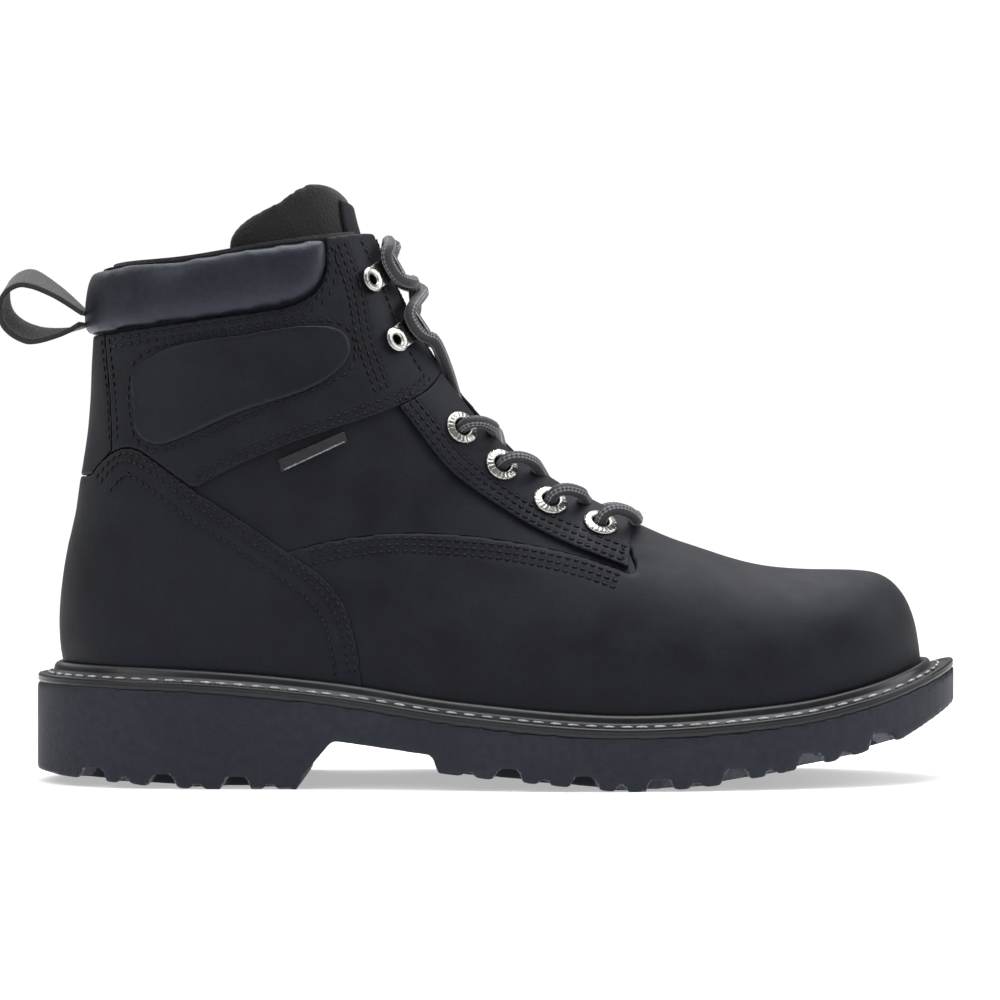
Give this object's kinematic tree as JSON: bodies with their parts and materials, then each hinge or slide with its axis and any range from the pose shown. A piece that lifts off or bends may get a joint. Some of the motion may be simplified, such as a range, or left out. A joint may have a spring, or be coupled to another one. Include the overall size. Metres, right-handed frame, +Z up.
{
  "type": "steel toe work boot",
  "caption": "Six-inch lace-up work boot with a steel toe cap, welted lug outsole, padded collar, eyelets, speed hooks and a rear pull loop, for a right foot.",
  "frame": {"origin": "centre of the bounding box in plan, at the height of the treads the boot stands on", "axes": "+X to the toe, +Y to the medial side, +Z up"},
  "size_m": [0.3274, 0.1142, 0.2028],
  "materials": {
    "collar_leather": "smooth padded leather, semi-gloss",
    "cork_filler": "ground cork and binder",
    "fibre_board": "pressed fibre board",
    "foam": "closed-cell foam",
    "formed_steel": "pressed steel",
    "lace_braid": "round braided polyester, light fleck",
    "lining_mesh": "brushed black textile",
    "nickel_hardware": "nickel plated steel",
    "nubuck_leather": "black oiled full-grain leather, waxy",
    "outsole_rubber": "moulded black rubber, fine pebble",
    "webbing": "black woven webbing",
    "welt_rubber": "extruded dark grey rubber, semi-gloss",
    "woven_label": "black woven label, plain"
  },
  "bodies": {
    "boot": {"ankle_pad_lateral": "nubuck_leather", "ankle_pad_medial": "nubuck_leather", "ankle_panel_lateral": "nubuck_leather", "ankle_panel_medial": "nubuck_leather", "backstay": "nubuck_leather", "collar_pad": "collar_leather", "cork_filler": "cork_filler", "eyelets_lateral": "nickel_hardware", "eyelets_medial": "nickel_hardware", "eyestay_lateral": "nubuck_leather", "eyestay_medial": "nubuck_leather", "footbed": "foam", "heel_counter": "fibre_board", "heel_foxing": "nubuck_leather", "hook_rivets_lateral": "nickel_hardware", "hook_rivets_medial": "nickel_hardware", "insole_board": "fibre_board", "interlining": "foam", "lace": "lace_braid", "lining": "lining_mesh", "outsole": "outsole_rubber", "quarter_lateral": "nubuck_leather", "quarter_medial": "nubuck_leather", "side_tag": "woven_label", "speed_hooks_lateral": "nickel_hardware", "speed_hooks_medial": "nickel_hardware", "steel_shank": "formed_steel", "steel_toe_cap": "formed_steel", "storm_welt": "welt_rubber", "toe_cap_gasket": "foam", "tongue_cover": "nubuck_leather", "tongue_pad": "lining_mesh", "vamp": "nubuck_leather"},
    "pull_loop": {"pull_loop": "webbing"}
  },
  "joints": [
    {"name": "pull_loop_swing", "type": "hinge", "parent": "boot", "child": "pull_loop", "pos_m": [-0.1332, 0, 0.157], "axis": [0, 1, 0], "range_deg": [-20, 16]}
  ]
}
